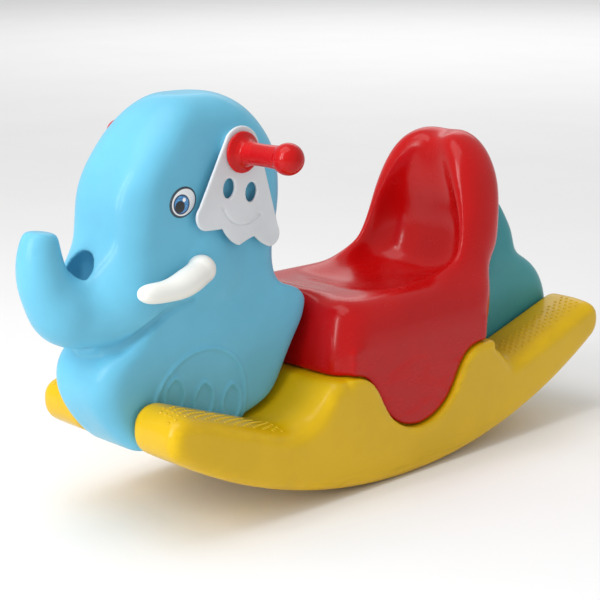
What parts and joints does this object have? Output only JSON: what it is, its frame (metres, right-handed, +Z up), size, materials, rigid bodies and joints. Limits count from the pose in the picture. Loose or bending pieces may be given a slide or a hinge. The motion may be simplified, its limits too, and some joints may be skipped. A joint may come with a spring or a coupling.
{
  "type": "child's elephant floor rocker",
  "caption": "Ride-on floor rocker for a toddler, shaped like an elephant: curved runners, bucket seat, hand grips on a cross bar and swinging ear plates.",
  "frame": {"origin": "centre of the bounding box in plan, at floor level, under the middle of the rocker", "axes": "+Z up, the elephant faces -Y, its left side is +X"},
  "size_m": [0.3386, 0.9007, 0.503],
  "materials": {
    "yellow_plastic": "moulded, slightly worn gloss",
    "blue_plastic": "moulded, satin gloss",
    "teal_plastic": "moulded, satin gloss",
    "red_plastic": "moulded, gloss",
    "white_plastic": "moulded, satin",
    "ivory_plastic": "moulded, satin",
    "eye_print": "printed eye on a thin glossy oval",
    "bar_steel": "drawn steel tube",
    "screw_steel": "zinc plated",
    "brass": "turned"
  },
  "bodies": {
    "rocker": {"rocker_base": "yellow_plastic", "front_body": "blue_plastic", "rear_body": "teal_plastic", "seat": "red_plastic", "handle_bar": "bar_steel", "seat_screws": "screw_steel", "seat_washers": "screw_steel", "front_body_screws": "screw_steel", "front_body_washers": "screw_steel", "rear_body_screws": "screw_steel", "rear_body_washers": "screw_steel", "left_grip": "red_plastic", "left_grip_insert": "brass", "left_ear_bush": "red_plastic", "left_tusk": "ivory_plastic", "left_eye": "eye_print", "right_grip": "red_plastic", "right_grip_insert": "brass", "right_ear_bush": "red_plastic", "right_tusk": "ivory_plastic", "right_eye": "eye_print"},
    "left_ear_plate": {"left_ear": "white_plastic"},
    "right_ear_plate": {"right_ear": "white_plastic"}
  },
  "joints": [
    {"name": "left_ear_swing", "type": "hinge", "parent": "rocker", "child": "left_ear_plate", "pos_m": [0.0714, -0.1916, 0.438], "axis": [1, 0, 0], "range_deg": [-35, 35]},
    {"name": "right_ear_swing", "type": "hinge", "parent": "rocker", "child": "right_ear_plate", "pos_m": [-0.0714, -0.1916, 0.438], "axis": [1, 0, 0], "range_deg": [-35, 35]}
  ]
}
